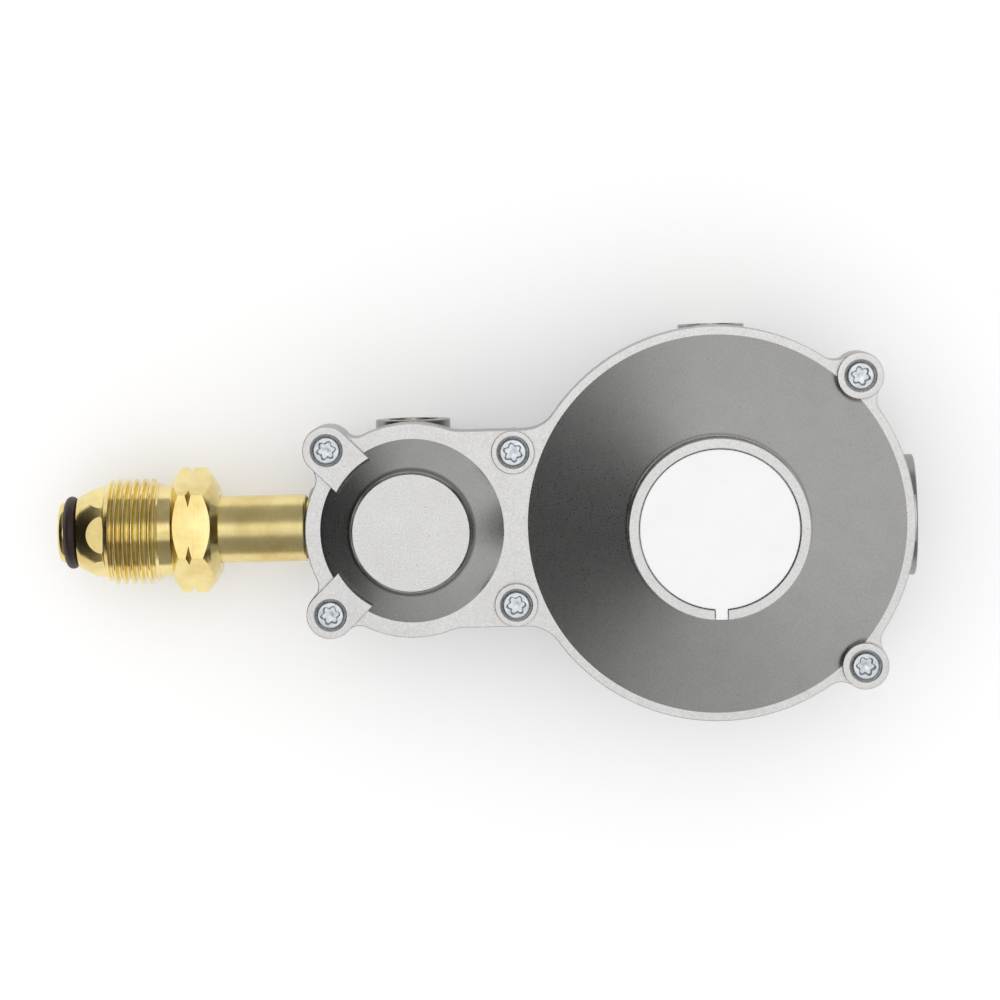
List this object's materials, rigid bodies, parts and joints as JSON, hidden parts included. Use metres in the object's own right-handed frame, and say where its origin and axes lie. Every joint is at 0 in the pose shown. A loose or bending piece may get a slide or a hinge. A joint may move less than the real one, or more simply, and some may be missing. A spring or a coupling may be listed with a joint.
{
  "type": "two-stage gas regulator",
  "caption": "Two-stage LP-gas regulator lying on its back: round cast housings, capped tower, brass inlet nut and threaded outlet.",
  "frame": {"origin": "flat underside, below the second stage's axis", "axes": "+Z out of the bonnet, +X from the brass inlet to the outlet port"},
  "size_m": [0.181, 0.0824, 0.047],
  "materials": {
    "cast_aluminium": "as cast, fine speckle",
    "brass": "turned, satin to bright",
    "zinc_plate": "bright zinc plate",
    "steel": "stamped",
    "spring_steel": "drawn wire",
    "white_plastic": "smooth moulded",
    "black_plastic": "moulded",
    "rubber": "matt"
  },
  "bodies": {
    "root": {"body_casting": "cast_aluminium", "bonnet_casting": "cast_aluminium", "pol_tailpiece": "brass", "pol_o_ring": "rubber", "inlet_screen": "steel", "gauge_plug_first_stage": "brass", "gauge_plug_second_stage": "brass", "cover_screw_1": "zinc_plate", "cover_screw_2": "zinc_plate", "cover_screw_3": "zinc_plate", "cover_screw_4": "zinc_plate", "cover_screw_5": "zinc_plate", "cover_screw_6": "zinc_plate", "first_stage_spring": "spring_steel", "first_stage_diaphragm": "rubber", "first_stage_lever_pin": "steel", "first_stage_orifice": "brass", "first_stage_valve_carrier": "cast_aluminium", "first_stage_carrier_screw_1": "zinc_plate", "first_stage_carrier_screw_2": "zinc_plate", "second_stage_spring": "spring_steel", "second_stage_diaphragm": "rubber", "second_stage_lever_pin": "steel", "second_stage_orifice": "brass", "second_stage_valve_carrier": "cast_aluminium", "second_stage_carrier_screw_1": "zinc_plate", "second_stage_carrier_screw_2": "zinc_plate"},
    "pol_nut": {"pol_nut": "brass"},
    "closing_cap": {"closing_cap": "white_plastic"},
    "adjuster_spring_seat": {"adjuster_spring_seat": "steel"},
    "adjusting_screw": {"adjusting_screw": "black_plastic"},
    "second_stage_post": {"second_stage_pusher_post": "brass", "second_stage_relief_nut": "steel", "second_stage_relief_spring": "spring_steel"},
    "second_stage_plate": {"second_stage_diaphragm_plate": "steel"},
    "second_stage_lever": {"second_stage_lever": "steel"},
    "second_stage_plunger": {"second_stage_valve_plunger": "brass", "second_stage_valve_seat_disc": "rubber"},
    "first_stage_post": {"first_stage_pusher_post": "brass", "first_stage_post_nut": "steel", "first_stage_diaphragm_plate": "steel"},
    "first_stage_lever": {"first_stage_lever": "steel"},
    "first_stage_plunger": {"first_stage_valve_plunger": "brass", "first_stage_valve_seat_disc": "rubber"}
  },
  "joints": [
    {"name": "pol_nut_turn", "type": "hinge", "parent": "root", "child": "pol_nut", "pos_m": [-0.117, 0, 0.014], "axis": [1, 0, 0], "continuous": true},
    {"name": "closing_cap_pull", "type": "slide", "parent": "root", "child": "closing_cap", "axis": [0, 0, 1], "range_m": [0, 0.015]},
    {"name": "adjuster_travel", "type": "slide", "parent": "root", "child": "adjuster_spring_seat", "axis": [0, 0, 1], "range_m": [-0.0025, 0.001], "deforming": ["second_stage_spring"]},
    {"name": "adjusting_screw_turn", "type": "hinge", "parent": "adjuster_spring_seat", "child": "adjusting_screw", "pos_m": [0, 0, 0.04], "axis": [0, 0, 1], "range_deg": [-600, 240]},
    {"name": "second_stage_diaphragm_lift", "type": "slide", "parent": "root", "child": "second_stage_post", "axis": [0, 0, 1], "range_m": [0, 0.004], "stiffness_N_per_m": 900, "springref_m": -0.0075, "deforming": ["second_stage_spring", "second_stage_diaphragm"]},
    {"name": "second_stage_relief_lift", "type": "slide", "parent": "second_stage_post", "child": "second_stage_plate", "axis": [0, 0, 1], "range_m": [0, 0.0012], "stiffness_N_per_m": 1500, "springref_m": -0.002, "deforming": ["second_stage_relief_spring", "second_stage_spring", "second_stage_diaphragm"]},
    {"name": "second_stage_lever_turn", "type": "hinge", "parent": "root", "child": "second_stage_lever", "pos_m": [-0.015, 0, 0.008], "axis": [0, -1, 0], "range_deg": [0, 15.3]},
    {"name": "second_stage_valve_travel", "type": "slide", "parent": "root", "child": "second_stage_plunger", "axis": [-1, 0, 0], "range_m": [0, 0.0016]},
    {"name": "first_stage_diaphragm_lift", "type": "slide", "parent": "root", "child": "first_stage_post", "axis": [0, 0, 1], "range_m": [0, 0.002], "stiffness_N_per_m": 9000, "springref_m": -0.0035, "deforming": ["first_stage_spring", "first_stage_diaphragm"]},
    {"name": "first_stage_lever_turn", "type": "hinge", "parent": "root", "child": "first_stage_lever", "pos_m": [-0.071, 0, 0.008], "axis": [0, -1, 0], "range_deg": [0, 15.3]},
    {"name": "first_stage_valve_travel", "type": "slide", "parent": "root", "child": "first_stage_plunger", "axis": [-1, 0, 0], "range_m": [0, 0.0016]}
  ],
  "couplings": [
    {"joint": "adjusting_screw_turn", "follows": "adjuster_travel", "rad_per_m": 4188.8},
    {"joint": "second_stage_lever_turn", "follows": "second_stage_diaphragm_lift", "rad_per_m": 66.667},
    {"joint": "second_stage_valve_travel", "follows": "second_stage_diaphragm_lift", "ratio": 0.4},
    {"joint": "first_stage_lever_turn", "follows": "first_stage_diaphragm_lift", "rad_per_m": 133.33},
    {"joint": "first_stage_valve_travel", "follows": "first_stage_diaphragm_lift", "ratio": 0.8}
  ]
}
